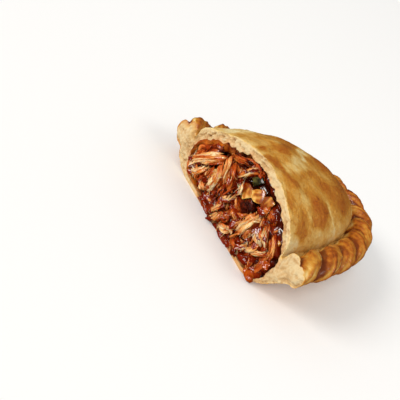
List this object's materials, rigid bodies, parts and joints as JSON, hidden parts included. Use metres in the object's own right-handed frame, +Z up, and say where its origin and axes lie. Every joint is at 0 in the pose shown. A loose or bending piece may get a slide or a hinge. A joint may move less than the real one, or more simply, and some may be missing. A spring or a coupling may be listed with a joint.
{
  "type": "halved empanada",
  "caption": "Half of a baked stuffed turnover: domed golden crust with a twisted rope edge, cut across to show a glossy shredded meat and onion filling.",
  "frame": {"origin": "middle of the half's box, on the flat base it rests on", "axes": "+X along the cut from crimp to crimp, -Y out of the cut face, +Z up through the dome"},
  "size_m": [0.0742, 0.0718, 0.0291],
  "materials": {
    "crust": "baked, satin, browned in patches",
    "filling": "moist, glossy with sauce"
  },
  "bodies": {
    "root": {"pastry": "crust", "filling": "filling"}
  },
  "joints": []
}
